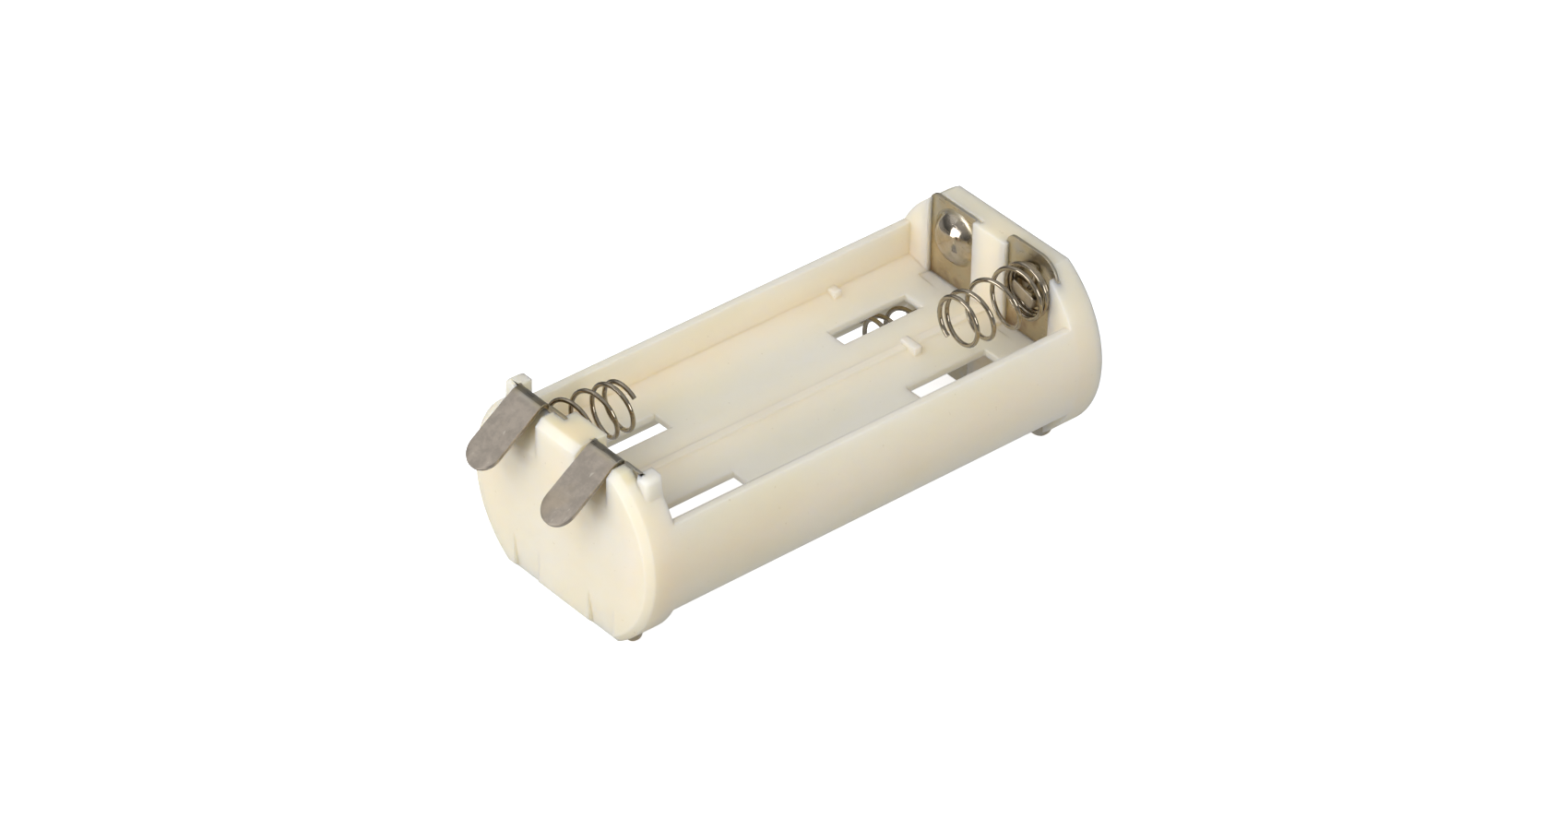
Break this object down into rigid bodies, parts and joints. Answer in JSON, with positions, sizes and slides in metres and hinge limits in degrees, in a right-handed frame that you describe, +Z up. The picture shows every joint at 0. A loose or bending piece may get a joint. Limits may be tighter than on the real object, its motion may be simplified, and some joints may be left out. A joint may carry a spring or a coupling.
{
  "type": "cylindrical cell holder",
  "caption": "Open holder for AAA cells, two above and two below a thin floor, with round end walls, folded contact plates, coil springs and two bent solder tabs",
  "frame": {"origin": "middle of the whole part's footprint, tabs included, on the plane the lower plate ends stand on", "axes": "+Z up; the long axis runs along Y with the solder tabs at -Y and the closed end at +Y; X across the two cells of a layer"},
  "size_m": [0.0264, 0.0612, 0.0212],
  "materials": {
    "body": "moulded natural nylon, slightly translucent, satin",
    "plate": "nickel-plated spring steel strip, satin with rolling marks",
    "wire": "nickel-plated spring wire"
  },
  "bodies": {
    "holder": {"holder_body": "body", "negative_terminal": "plate", "positive_terminal": "plate", "link_plate_left": "plate", "link_plate_right": "plate", "bridge_plate": "plate"},
    "top_near_coil": {"spring_top_near": "wire"},
    "top_far_coil": {"spring_top_far": "wire"},
    "bottom_near_coil": {"spring_bottom_near": "wire"},
    "bottom_far_coil": {"spring_bottom_far": "wire"}
  },
  "joints": [
    {"name": "top_near_press", "type": "slide", "parent": "holder", "child": "top_near_coil", "axis": [0, -1, 0], "range_m": [0, 0.0055], "stiffness_N_per_m": 300, "deforming": ["spring_top_near"]},
    {"name": "top_far_press", "type": "slide", "parent": "holder", "child": "top_far_coil", "axis": [0, 1, 0], "range_m": [0, 0.0055], "stiffness_N_per_m": 300, "deforming": ["spring_top_far"]},
    {"name": "bottom_near_press", "type": "slide", "parent": "holder", "child": "bottom_near_coil", "axis": [0, -1, 0], "range_m": [0, 0.0055], "stiffness_N_per_m": 300, "deforming": ["spring_bottom_near"]},
    {"name": "bottom_far_press", "type": "slide", "parent": "holder", "child": "bottom_far_coil", "axis": [0, 1, 0], "range_m": [0, 0.0055], "stiffness_N_per_m": 300, "deforming": ["spring_bottom_far"]}
  ]
}
